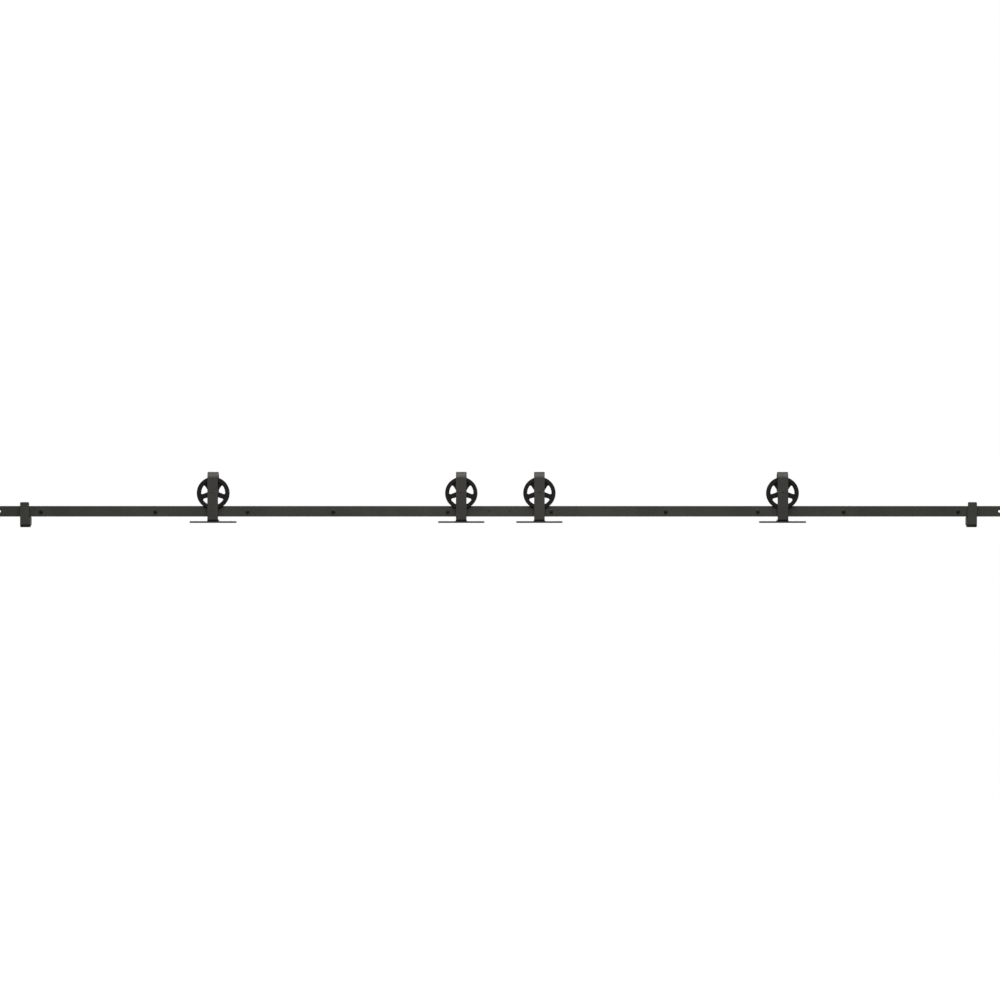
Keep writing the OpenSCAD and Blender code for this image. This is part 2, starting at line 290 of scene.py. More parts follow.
@dataclass(frozen=True)
class BareMetal(Finish):
    """Metal with fine marks from turning or blacking."""

    tone: float = 0.5
    roughness: float = 0.25
    marks: float = 0.00001
    tint: Colour = (1.0, 1.0, 1.0)

    def make(self, sheet: NodeSheet) -> bpy.types.Material:
        """Wire the material's nodes.

        Args:
            sheet: The empty material to fill.

        Returns:
            The finished material.
        """
        tarnish = sheet.spread(sheet.noise(140, 5, 0.6), 0.35, 0.65, 0.0, 1.0)
        body = sheet.blend(tarnish, shade(self.tone * 0.8, self.tint), shade(self.tone * 1.15, self.tint))
        colour = sheet.blend(sheet.math("MULTIPLY", sheet.edges(0.35 * MM), 0.45), body,
                             shade(min(0.8, self.tone * 2.5), self.tint))
        stretch = sheet.add("ShaderNodeMapping", {"Vector": sheet.coords(), "Scale": (1.0, 30.0, 1.0)})
        lines = sheet.add("ShaderNodeTexNoise", {"Vector": stretch.outputs[0], "Scale": 260.0, "Detail": 4.0})
        gloss = sheet.spread(lines.outputs["Fac"], 0.3, 0.7, self.roughness - 0.06, self.roughness + 0.1)
        normal = sheet.bump(lines.outputs["Fac"], self.marks, 0.6)
        return sheet.surface(Base_Color=colour, Metallic=1.0, Roughness=gloss, Normal=normal)


@dataclass(frozen=True)
class MouldedBlack(Finish):
    """Black rubber or nylon from a mould: matt, with fine grain and a dusty bloom."""

    tone: float = 0.012
    roughness: float = 0.75
    grain: float = 0.00008

    def make(self, sheet: NodeSheet) -> bpy.types.Material:
        """Wire the material's nodes.

        Args:
            sheet: The empty material to fill.

        Returns:
            The finished material.
        """
        bloom = sheet.spread(sheet.noise(60, 5, 0.65), 0.4, 0.7, 0.0, 0.7)
        colour = sheet.blend(bloom, shade(self.tone), shade(self.tone * 2.1))
        gloss = sheet.spread(sheet.noise(120, 4), 0.3, 0.7, self.roughness - 0.1, self.roughness + 0.1)
        normal = sheet.bump(sheet.noise(1100, 3), self.grain, 0.6)
        return sheet.surface(Base_Color=colour, Roughness=gloss, Normal=normal, Specular_IOR_Level=0.3)


TRACK_PAINT = PowderCoat("track_paint", Slot.TRACK, tone=0.0295)
STRAP_PAINT = PowderCoat("strap_paint", Slot.STRAP, tone=0.0285, tint=(1.09, 1.0, 0.86), roughness=0.47)
# Painted shade: the door plate takes the strap's powder coat darkened, standing in for the shade under the strap's
# foot.
SHADED_PLATE_PAINT = PowderCoat("plate_paint", Slot.STRAP, tone=0.012, tint=(1.05, 1.0, 0.86))
STOP_PAINT = PowderCoat("stop_paint", Slot.STOP, tone=0.032, tint=(1.03, 1.0, 0.83))
SCREW_PAINT = PowderCoat("screw_paint", Slot.TRACK, tone=0.027, roughness=0.45, peel=0.00002, wear=0.2)
WHEEL_ENAMEL = CastPaint("wheel_enamel", Slot.WHEEL, tone=0.0045)
BLACKED_STEEL = BareMetal("blacked_steel", Slot.FASTENER, tone=0.035, roughness=0.38, tint=(1.03, 1.0, 0.94))
BEARING_STEEL = BareMetal("bearing_steel", Slot.BEARING, tone=0.55, roughness=0.16)
ZINC_PLATE = BareMetal("zinc_plate", Slot.BUSH, tone=0.42, roughness=0.33, marks=0.00002)
BUFFER_RUBBER = MouldedBlack("buffer_rubber", Slot.RUBBER)
PAD_NYLON = MouldedBlack("pad_nylon", Slot.NYLON, tone=0.018, roughness=0.55, grain=0.00004)


# ---- Outlines and meshes ----


def arc(centre: Point2, radius: float, start: float, sweep: float, steps: int) -> list[Point2]:
    """Points along an arc, both ends included; angles in radians."""
    turns = (start + sweep * i / steps for i in range(steps + 1))
    return [(centre[0] + radius * math.cos(a), centre[1] + radius * math.sin(a)) for a in turns]


def rounded(points: Sequence[Point2], radii: Sequence[float], steps: int = 8, is_open: bool = False) -> list[Point2]:
    """Round the corners of a polygon or an open path.

    Args:
        points: The sharp corners in order.
        radii: A radius for each corner; 0 keeps it sharp.
        steps: Segments in each arc.
        is_open: True for a path whose two ends stay as they are.

    Returns:
        The points with arcs in place of the corners.
    """
    out: list[Point2] = []
    count = len(points)
    for i, (point, radius) in enumerate(zip(points, radii)):
        here = Vector(point)
        if radius <= 0 or (is_open and i in (0, count - 1)):
            out.append((here.x, here.y))
            continue
        back = (Vector(points[i - 1]) - here).normalized()
        on = (Vector(points[(i + 1) % count]) - here).normalized()
        half = back.angle(on) / 2
        centre = here + (back + on).normalized() * (radius / math.sin(half))
        first = here + back * (radius / math.tan(half)) - centre
        last = here + on * (radius / math.tan(half)) - centre
        start = math.atan2(first.y, first.x)
        sweep = (math.atan2(last.y, last.x) - start + math.pi) % TAU - math.pi
        out += arc((centre.x, centre.y), radius, start, sweep, steps)
    return out


def rectangle(u0: float, v0: float, u1: float, v1: float) -> list[Point2]:
    """A rectangle's corners, anticlockwise."""
    return [(u0, v0), (u1, v0), (u1, v1), (u0, v1)]


def inset(loop: Sequence[Point2], distance: float) -> list[Point2]:
    """Move each side of an anticlockwise loop inwards by a distance.

    Args:
        loop: The corners in order.
        distance: How far each side moves; negative moves it outwards.

    Returns:
        The moved corners.
    """
    out = []
    count = len(loop)
    for i, point in enumerate(loop):
        before = (Vector(point) - Vector(loop[i - 1])).normalized()
        after = (Vector(loop[(i + 1) % count]) - Vector(point)).normalized()
        normals = Vector((-before.y, before.x)) + Vector((-after.y, after.x))
        length = normals.length_squared / 2
        shift = normals * (distance / length)
        out.append((point[0] + shift.x, point[1] + shift.y))
    return out


def rounded_edge(loop: Sequence[Point2], low: float, high: float, edge: float,
                 steps: int = 3, inwards: float = 1.0) -> list[Layer]:
    """The stacked loops of a wall between two heights, rounded over at both ends.

    Args:
        loop: The wall's outline, anticlockwise.
        low: The lower face.
        high: The upper face.
        edge: The radius of the rounding.
        steps: Segments in the rounding.
        inwards: 1 for an outer wall, -1 for the wall of a hole.

    Returns:
        Height and loop pairs from low to high.
    """
    turns = [math.pi / 2 * i / steps for i in range(steps + 1)]
    rise = [(low + edge * (1 - math.cos(a)), edge * (1 - math.sin(a))) for a in turns]
    fall = [(high - edge * (1 - math.cos(a)), edge * (1 - math.sin(a))) for a in reversed(turns)]
    return [(height, inset(loop, inwards * shift)) for height, shift in rise + fall]


def round_hole(u: float, v: float, profile: Sequence[Point2], segments: int = 40) -> list[Layer]:
    """The stacked loops of a round hole.

    Args:
        u: The hole's centre.
        v: The hole's centre.
        profile: Height and radius pairs from the lower face to the upper.
        segments: Points in each loop.

    Returns:
        Height and loop pairs.
    """
    return [(w, arc((u, v), r, 0, TAU, segments)[:-1]) for w, r in profile]


def drilled(low: float, high: float, radius: float, burr: float = 0.3 * MM) -> list[Point2]:
    """The profile of a plain hole with a small chamfer at each face."""
    return [(low, radius + burr), (low + burr, radius), (high - burr, radius), (high, radius + burr)]


def slab(outer: Sequence[Layer], holes: Sequence[Sequence[Layer]], place: Placer) -> Mesh:
    """A plate from its outer wall and the walls of its holes.

    Args:
        outer: The outer wall's loops, from the lower face to the upper.
        holes: The same for each hole.
        place: Turns (u, v, height) into a point.

    Returns:
        A closed mesh.
    """
    mesh = bmesh.new()
    walls = []
    for layers in [outer, *holes]:
        rings = [[mesh.verts.new(place(u, v, w)) for u, v in loop] for w, loop in layers]
        walls.append(rings)
        for lower, upper in zip(rings, rings[1:]):
            join_rings(mesh, lower, upper)
    for end in (0, -1):
        loops = [[Vector((u, v, 0)) for u, v in layers[end][1]] for layers in [outer, *holes]]
        verts = [vert for rings in walls for vert in rings[end]]
        for a, b, c in tessellate_polygon(loops):
            if len({a, b, c}) == 3:
                mesh.faces.new((verts[a], verts[b], verts[c]))
    bmesh.ops.recalc_face_normals(mesh, faces=mesh.faces)
    return mesh


def join_rings(mesh: Mesh, lower: Sequence[Corner],
               upper: Sequence[Corner]) -> None:
    """Skin the gap between two rings; a ring of one vertex is a point.

    Args:
        mesh: The mesh that gets the faces.
        lower: The first ring.
        upper: The second ring, in the same order.
    """
    count = max(len(lower), len(upper))
    for i in range(count):
        j = (i + 1) % count
        corners = [lower[i % len(lower)], lower[j % len(lower)], upper[j % len(upper)], upper[i % len(upper)]]
        unique = list(dict.fromkeys(corners))
        if len(unique) > 2:
            mesh.faces.new(unique)


@dataclass(frozen=True)
class Ring:
    """One ring of a turned shape about the Y axis.

    y is its place along the axis and r its radius, or half its flats if it has six sides. fall moves a six-sided
    ring's corners along the axis, as a chamfer does. ridge and pitch make it part of a thread.
    """

    y: float
    r: float
    six_sided: bool = False
    fall: float = 0.0
    ridge: float = 0.0
    pitch: float = 1.0

    def at(self, angle: float) -> tuple[float, float]:
        """The radius and the place along the axis at an angle.

        Args:
            angle: The angle about the axis, in radians.

        Returns:
            The radius and the place.
        """
        radius, y = self.r, self.y
        if self.six_sided:
            radius = self.r / math.cos((angle + math.pi / 6) % (math.pi / 3) - math.pi / 6)
            y += self.fall * (radius - self.r)
        if self.ridge:
            phase = (self.y / self.pitch - angle / TAU) % 1.0
            radius += self.ridge * (abs(4 * phase - 2) - 1)
        return radius, y


def turned(rings: Sequence[Ring], centre: Vector, segments: int = 72, closed: bool = False) -> Mesh:
    """A shape turned about an axis along Y.

    Args:
        rings: The rings in order along the outline.
        centre: A point on the axis; its y is added to the rings'.
        segments: Sides of a round ring.
        closed: True joins the last ring to the first, for a shape with a bore. Otherwise both ends are capped.

    Returns:
        A closed mesh.
    """
    mesh = bmesh.new()
    made = []
    for ring in rings:
        verts = []
        for i in range(1 if ring.r == 0 else segments):
            angle = TAU * i / segments
            radius, y = ring.at(angle)
            verts.append(mesh.verts.new(centre + Vector((radius * math.cos(angle), y, radius * math.sin(angle)))))
        made.append(verts)
    pairs = list(zip(made, made[1:])) + ([(made[-1], made[0])] if closed else [])
    for lower, upper in pairs:
        join_rings(mesh, lower, upper)
    if not closed:
        for verts in (made[0], made[-1]):
            if len(verts) > 1:
                mesh.faces.new(verts)
    bmesh.ops.recalc_face_normals(mesh, faces=mesh.faces)
    return mesh


def softened(outline: Sequence[Point2], radius: float, steps: int = 3) -> list[Ring]:
    """Rings from a closed (y, r) outline with its corners rounded."""
    return [Ring(y, r) for y, r in rounded(outline, [radius] * len(outline), steps)]


def thread(y0: float, y1: float, radius: float, ridge: float, pitch: float, per_turn: int = 6) -> list[Ring]:
    """Rings of a screw thread between two places along the axis."""
    count = max(2, round(abs(y1 - y0) / pitch * per_turn))
    return [Ring(y0 + (y1 - y0) * i / count, radius, ridge=ridge, pitch=pitch) for i in range(count + 1)]


def along(path: Sequence[Point2], distance: float) -> tuple[Vector, Vector]:
    """The point and the direction at a distance along a path.

    Args:
        path: The path's points in order.
        distance: How far along it, in metres.

    Returns:
        The point, and a direction of length 1.
    """
    travelled = 0.0
    for first, last in zip(path, path[1:]):
        step = Vector(last) - Vector(first)
        if travelled + step.length >= distance or last == path[-1]:
            return Vector(first) + step.normalized() * (distance - travelled), step.normalized()
        travelled += step.length
    raise ValueError("a path needs two points")


def corner_cut(distance: float, radius: float) -> float:
    """How much a round corner has cut away at a distance from the end.

    Args:
        distance: How far from the end.
        radius: The corner's radius.

    Returns:
        The width that is gone there.
    """
    if distance >= radius:
        return 0.0
    return radius - math.sqrt(max(0.0, radius ** 2 - (radius - distance) ** 2))


@dataclass(frozen=True)
class BentBar:
    """Flat bar bent along a path in the YZ plane, with its width along X.

    start_corner and end_corner are the radii of the corners seen on the flat at each end, and edge is the small
    radius along every edge.
    """

    width: float
    thickness: float
    path: Sequence[Point2]
    start_corner: float
    end_corner: float
    edge: float = 0.7 * MM

    def mesh(self, x: float) -> Mesh:
        """The bar with its middle at that place along the track.

        Args:
            x: The middle of the bar's width.

        Returns:
            A closed mesh.
        """
        total = sum((Vector(b) - Vector(a)).length for a, b in zip(self.path, self.path[1:]))
        mesh = bmesh.new()
        rings = []
        for s in self.stations(total):
            point, heading = along(self.path, s)
            normal = Vector((-heading.y, heading.x))
            cut = corner_cut(s, self.start_corner) + corner_cut(total - s, self.end_corner)
            thin = corner_cut(s, self.edge) + corner_cut(total - s, self.edge)
            half_w = max(self.width / 2 - max(cut, thin), 0.2 * MM)
            half_t = self.thickness / 2 - thin
            ring = []
            for across, up in self.section(half_w, half_t):
                at = point + normal * up
                ring.append(mesh.verts.new((x + across, at.x, at.y)))
            rings.append(ring)
        for lower, upper in zip(rings, rings[1:]):
            join_rings(mesh, lower, upper)
        for ring in (rings[0], rings[-1]):
            mesh.faces.new(ring)
        bmesh.ops.recalc_face_normals(mesh, faces=mesh.faces)
        return mesh

    def stations(self, total: float) -> list[float]:
        """Distances along the path where the bar gets a ring: every bend point, and close ones at the round ends.

        Args:
            total: The path's length.

        Returns:
            The distances in order, with no two the same.
        """
        out = {0.0, total}
        travelled = 0.0
        for a, b in zip(self.path, self.path[1:-1]):
            travelled += (Vector(b) - Vector(a)).length
            out.add(travelled)
        for radius, from_end in ((self.start_corner, False), (self.end_corner, True),
                                 (self.edge, False), (self.edge, True)):
            steps = 4 if radius < 2 * MM else 14
            for i in range(1, steps + 1):
                s = radius * (1 - math.cos(math.pi / 2 * i / steps))
                out.add(total - s if from_end else s)
        ordered = sorted(out)
        return [s for i, s in enumerate(ordered) if i == 0 or s - ordered[i - 1] > 1e-6]

    def section(self, half_w: float, half_t: float) -> list[Point2]:
        """A rectangle with rounded corners.

        Args:
            half_w: Half of its width.
            half_t: Half of its thickness.

        Returns:
            The outline, anticlockwise.
        """
        radius = min(self.edge, half_w * 0.9, half_t * 0.9)
        return rounded(rectangle(-half_w, -half_t, half_w, half_t), [radius] * 4, 3)


def merged(parts: Iterable[Mesh]) -> Mesh:
    """Several meshes as one; the parts are used up.

    Args:
        parts: The meshes.

    Returns:
        One mesh with all of them.
    """
    whole = bmesh.new()
    for part in parts:
        scratch = bpy.data.meshes.new("scratch")
        part.to_mesh(scratch)
        part.free()
        whole.from_mesh(scratch)
        bpy.data.meshes.remove(scratch)
    return whole


def to_object(name: str, mesh: Mesh) -> bpy.types.Object:
    """An object in the scene from a mesh, which is used up.

    Args:
        name: The object's name.
        mesh: The mesh.

    Returns:
        The object, at the origin.
    """
    data = bpy.data.meshes.new(name)
    mesh.to_mesh(data)
    mesh.free()
    obj = bpy.data.objects.new(name, data)
    bpy.context.scene.collection.objects.link(obj)
    return obj


def apply_modifiers(obj: bpy.types.Object) -> None:
    """Turn what an object's modifiers make into its plain mesh.

    Args:
        obj: The object.
    """
    bpy.context.view_layer.update()
    graph = bpy.context.evaluated_depsgraph_get()
    result = bpy.data.meshes.new_from_object(obj.evaluated_get(graph), depsgraph=graph)
    obj.modifiers.clear()
    old = obj.data
    obj.data = result
    bpy.data.meshes.remove(old)


def combine(obj: bpy.types.Object, tool: bpy.types.Object, operation: str = "DIFFERENCE") -> None:
    """Cut a tool out of an object, or join it on with UNION; the tool is used up.

    Args:
        obj: The object to change.
        tool: The other object.
        operation: DIFFERENCE or UNION.
    """
    modifier = obj.modifiers.new("combine", "BOOLEAN")
    modifier.operation = operation
    modifier.solver = "MANIFOLD"
    modifier.object = tool
    apply_modifiers(obj)
    bpy.data.objects.remove(tool)


# ---- Geometry Nodes for what repeats ----


class CopyTree(NodeBook):
    """A Geometry Nodes tree that repeats a template and ends in plain geometry with a material."""

    def __init__(self, name: str, **inputs: str) -> None:
        """Start the tree.

        Args:
            name: The tree's name.
            inputs: The inputs of its own, with underscores for spaces, and each one's socket type.
        """
        super().__init__(bpy.data.node_groups.new(name, "GeometryNodeTree"))
        face = self.tree.interface
        face.new_socket("Geometry", in_out="OUTPUT", socket_type="NodeSocketGeometry")
        for label, kind in {"Geometry": "Geometry", "Template": "Object", "Finish": "Material", **inputs}.items():
            face.new_socket(label.replace("_", " "), in_out="INPUT", socket_type=f"NodeSocket{kind}")
        self.given = self.add("NodeGroupInput").outputs
        self.index = self.add("GeometryNodeInputIndex").outputs[0]

    def finish(self, points: Socket, angle: Socket) -> bpy.types.NodeTree:
        """Put the copies on the points, turned by the angle about Y, and close the tree.

        Args:
            points: Where the copies go.
            angle: Each copy's turn, in radians.

        Returns:
            The finished tree.
        """
        template = self.add("GeometryNodeObjectInfo", {"Object": self.given["Template"]})
        euler = self.add("ShaderNodeCombineXYZ", {"Y": angle})
        turn = self.add("FunctionNodeEulerToRotation", {"Euler": euler.outputs[0]})
        inputs = {"Points": points, "Instance": template.outputs["Geometry"], "Rotation": turn.outputs[0]}
        copies = self.add("GeometryNodeInstanceOnPoints", inputs)
        real = self.add("GeometryNodeRealizeInstances", {"Geometry": copies.outputs[0]})
        inputs = {"Geometry": real.outputs[0], "Material": self.given["Finish"]}
        dressed = self.add("GeometryNodeSetMaterial", inputs)
        self.add("NodeGroupOutput", {"Geometry": dressed.outputs[0]})
        return self.tree


@cache
def ring_tree() -> bpy.types.NodeTree:
    """Copies of a template turned about an axis along Y through a centre; the template points along +X.

    Returns:
        The tree, made once.
    """
    made = CopyTree("ring_of_copies", Count="Int", First_Angle="Float", Centre="Vector")
    points = made.add("GeometryNodePoints", {"Count": made.given["Count"], "Position": made.given["Centre"]})
    turn = made.math("MULTIPLY", made.index, made.math("DIVIDE", TAU, made.given["Count"]))
    return made.finish(points.outputs[0], made.math("ADD", turn, made.given["First Angle"]))


@cache
def places_tree() -> bpy.types.NodeTree:
    """Copies of a template on the object's own points, each turned a little about its own axis.

    Returns:
        The tree, made once.
    """
    made = CopyTree("copies_at_places", Turn_Step="Float")
    return made.finish(made.given["Geometry"], made.math("MULTIPLY", made.index, made.given["Turn Step"]))


def repeated(name: str, template: Mesh, finish: Finish, tree: bpy.types.NodeTree,
             points: Sequence[Vector] = (), **inputs: object) -> bpy.types.Object:
    """Run a copying tree and keep the plain mesh that it makes.

    Args:
        name: The piece's name.
        template: The mesh to repeat, around the origin; it is used up.
        finish: The finish of the copies.
        tree: ring_tree() or places_tree().
        points: The object's own points, where the tree uses them.
        inputs: The tree's other inputs, with underscores for spaces.

    Returns:
        An object with a plain mesh and no modifier.
    """
    pattern = to_object("template", template)
    base = bpy.data.meshes.new(name)
    base.from_pydata([tuple(p) for p in points], [], [])
    obj = bpy.data.objects.new(name, base)
    bpy.context.scene.collection.objects.link(obj)
    modifier = obj.modifiers.new("copies", "NODES")
    modifier.node_group = tree
    values = {"Template": pattern, "Finish": finish.material()}
    values.update({key.replace("_", " "): value for key, value in inputs.items()})
    for item in tree.interface.items_tree:
        if item.in_out == "INPUT" and item.name in values:
            modifier[item.identifier] = values[item.name]
    apply_modifiers(obj)
    bpy.data.objects.remove(pattern)
    return obj


# ---- Fasteners ----


def socket_rings(face: float, flats: float, depth: float) -> list[Ring]:
    """Rings of a hexagon socket sunk from a face along +Y, ending in a point.

    Args:
        face: Where the face is along the axis.
        flats: The key's size.
        depth: The socket's depth.

    Returns:
        The rings, from the face inwards.
    """
    lip = 0.25 * MM
    return [
        Ring(face, flats / 2 / math.cos(math.pi / 6) + lip),
        Ring(face + lip, flats / 2, six_sided=True),
        Ring(face + depth, flats / 2, six_sided=True),
        Ring(face + depth + flats * 0.25, 0.0),
    ]


def hex_head_rings(face: float, seat: float, flats: float) -> list[Ring]:
    """Rings of a hexagon head from the middle of its face to its seat.

    Args:
        face: Where the face is along the axis.
        seat: Where the seat is.
        flats: The spanner's size.

    Returns:
        The rings in order.
    """
    tilt = math.tan(math.radians(30)) * (1 if seat > face else -1)
    half = flats / 2
    flat_r = half * 0.94
    rise = (half - flat_r) * tilt
    return [
        Ring(face, 0.0), Ring(face, flat_r * 0.6), Ring(face, flat_r),
        Ring(face + rise, half, six_sided=True, fall=tilt),
        Ring(seat, half, six_sided=True),
    ]


# ---- Sub-assemblies ----


class SubAssembly:
    """Pieces that ride on one CAD body."""

    body: str = "track"

    def dress(self, obj: bpy.types.Object, finish: Finish, *nodes: str, smooth_to: float = 38.0) -> None:
        """Give a finished mesh its material and shading, and tie it to the frame.

        Args:
            obj: The piece, with its place in its mesh.
            finish: Its finish.
            nodes: The CAD nodes that it stands for.
            smooth_to: Edges up to this many degrees are shaded smooth.
        """
        obj.data.materials.clear()
        obj.data.materials.append(finish.material())
        obj.data.shade_smooth()
        obj.data.set_sharp_from_angle(angle=math.radians(smooth_to))
        weighted = obj.modifiers.new("even_normals", "WEIGHTED_NORMAL")
        weighted.keep_sharp = True
        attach(obj, self.body)
        if nodes:
            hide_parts(*nodes)
        LOG.info("%s: %d faces on %s", obj.name, len(obj.data.polygons), self.body)

    def piece(self, name: str, mesh: Mesh, finish: Finish, *nodes: str, smooth_to: float = 38.0) -> None:
        """Make an object of a mesh, which is used up, and dress it."""
        self.dress(to_object(name, mesh), finish, *nodes, smooth_to=smooth_to)


@dataclass
class Track(SubAssembly):
    """The two rails, what joins them, and what fixes them to the wall."""

    body: str = "track"
    edge: float = 0.4 * MM
    hole_r: float = 3.5 * MM
    end_hole_r: float = 4.5 * MM
    sink_r: float = 8.0 * MM
    sink_depth: float = 3.5 * MM
    end_inset: float = 35.5 * MM
    join_screw_r: float = 3.95 * MM
    lag_flats: float = 11.1 * MM
    lag_r: float = 3.2 * MM
    lag_core_r: float = 2.5 * MM
    lag_ridge: float = 0.5 * MM
    lag_pitch: float = 3.2 * MM
    lag_point: float = 8.0 * MM
    places: list[float] = field(default_factory=list)

    def __post_init__(self) -> None:
        """Read the bar's depth and height, and the wall bolts' places, from the frame."""
        low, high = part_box("left_rail")
        self.left_end = low.x
        self.right_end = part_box("right_rail")[1].x
        self.front, self.back = low.y, high.y
        self.bottom, self.top = low.z, high.z
        self.places = self.bolt_places()

    @staticmethod
    def bolt_places() -> list[float]:
        """The wall bolts' places along the track: the middle of each run of the spacers' vertices.

        Returns:
            The places from left to right.
        """
        xs = sorted(v.co.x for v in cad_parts["wall_spacers"].data.vertices)
        runs = [[xs[0]]]
        for x in xs[1:]:
            if x - runs[-1][-1] > 20 * MM:
                runs.append([])
            runs[-1].append(x)
        return [(run[0] + run[-1]) / 2 for run in runs]

    def rail(self, side: Side) -> None:
        """One rail: a flat bar with rounded edges, wall holes and a countersunk hole near each end.

        Args:
            side: Which rail.
        """
        node = f"{side.label}_rail"
        low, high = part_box(node)
        free, met, joint = 0.5 * MM, 0.0, 0.0
        if side is Side.LEFT:
            box, radii = rectangle(low.x, low.z, joint, high.z), [free, met, met, free]
        else:
            box, radii = rectangle(joint, low.z, high.x, high.z), [met, free, free, met]
        loop = rounded(box, radii, 3)
        outer = rounded_edge(loop, self.front, self.back, self.edge)
        holes = [round_hole(x, 0, drilled(self.front, self.back, self.hole_r))
                 for x in self.places if low.x < x < high.x]
        sunk = [(self.front, self.sink_r + 0.2 * MM), (self.front + 0.2 * MM, self.sink_r),
                (self.front + self.sink_depth, self.end_hole_r), (self.back, self.end_hole_r)]
        ends = (s * far for s in (-1, 1) for far in (self.end_inset, self.right_end - self.end_inset))
        holes += [round_hole(x, 0, sunk, 48) for x in ends if low.x < x < high.x]
        bar = slab(outer, holes, lambda u, v, w: Vector((u, w, v)))
        self.piece(node + "_bar", bar, TRACK_PAINT, node)

    def join_plate(self) -> None:
        """The plate behind the joint."""
        low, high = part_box("join_plate")
        loop = rounded(rectangle(low.x, low.z, high.x, high.z), [2 * MM] * 4, 4)
        outer = rounded_edge(loop, low.y, high.y, self.edge)
        holes = [round_hole(s * self.end_inset, 0, drilled(low.y, high.y, 4 * MM)) for s in (-1, 1)]
        plate = slab(outer, holes, lambda u, v, w: Vector((u, w, v)))
        self.piece("join_plate_bar", plate, TRACK_PAINT, "join_plate")

    def join_screws(self) -> None:
        """Two countersunk socket screws, flush with the rail."""
        low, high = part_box("join_screws")
        head_r = self.sink_r - 0.3 * MM
        shank = self.join_screw_r
        tip = high.y - self.front
        rings = socket_rings(0.0, 5 * MM, 2.5 * MM)[::-1]
        rings += [Ring(0.0, head_r - 0.4 * MM), Ring(0.15 * MM, head_r), Ring(0.5 * MM, head_r - 0.1 * MM),
                  Ring(self.sink_depth, shank)]
        rings += thread(self.sink_depth + 0.6 * MM, tip - 1 * MM, shank - 0.3 * MM, 0.28 * MM, 1.25 * MM)
        rings += [Ring(tip, shank - 1 * MM), Ring(tip, 0.0)]
        screw = turned(rings, Vector((0, 0, 0)), 48)
        places = [Vector((s * self.end_inset, self.front, 0)) for s in (-1, 1)]
        obj = repeated("join_screw_pair", screw, SCREW_PAINT, places_tree(), places, Turn_Step=0.7)
        self.dress(obj, SCREW_PAINT, "join_screws")

    def fixings(self) -> None:
        """The spacers, washers and lag bolts at every wall hole."""
        places = [Vector((x, 0, 0)) for x in self.places]
        spacer_low, spacer_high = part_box("wall_spacers")
        radius = (spacer_high.z - spacer_low.z) / 2
        outline = rectangle(spacer_low.y, self.hole_r, spacer_high.y, radius)
        spacer = turned(softened(outline, 0.7 * MM), Vector(), 48, closed=True)
        obj = repeated("wall_spacer_set", spacer, TRACK_PAINT, places_tree(), places, Turn_Step=0.9)
        self.dress(obj, TRACK_PAINT, "wall_spacers")

        washer_low, washer_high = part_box("lag_washers")
        outline = rectangle(washer_low.y, self.hole_r, washer_high.y, radius)
        washer = turned(softened(outline, 0.4 * MM, 2), Vector(), 48, closed=True)
        obj = repeated("lag_washer_set", washer, SCREW_PAINT, places_tree(), places, Turn_Step=1.3)
        self.dress(obj, SCREW_PAINT, "lag_washers")

        bolt_low, bolt_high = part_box("lag_bolts")
        seat = washer_low.y
        point = bolt_high.y - self.lag_point
        helix = (self.lag_core_r, self.lag_ridge, self.lag_pitch)
        rings = hex_head_rings(bolt_low.y, seat, self.lag_flats)
        rings += [Ring(seat, self.lag_r), Ring(-0.5 * MM, self.lag_r), Ring(0.0, 2.6 * MM)]
        rings += thread(0.4 * MM, point, *helix)
        tail = thread(point, bolt_high.y - 1 * MM, *helix)
        for i, ring in enumerate(tail[1:], 1):
            left = 1 - i / len(tail)
            rings.append(Ring(ring.y, 0.3 * MM + ring.r * left, ridge=ring.ridge * left, pitch=ring.pitch))
        rings.append(Ring(bolt_high.y, 0.0))
        bolt = turned(rings, Vector(), 36)
        obj = repeated("lag_bolt_set", bolt, BLACKED_STEEL, places_tree(), places, Turn_Step=0.83)
        self.dress(obj, BLACKED_STEEL, "lag_bolts")

    def build(self) -> None:
        """Build every piece of the track."""
        for side in Side:
            self.rail(side)
        self.join_plate()
        self.join_screws()
        self.fixings()


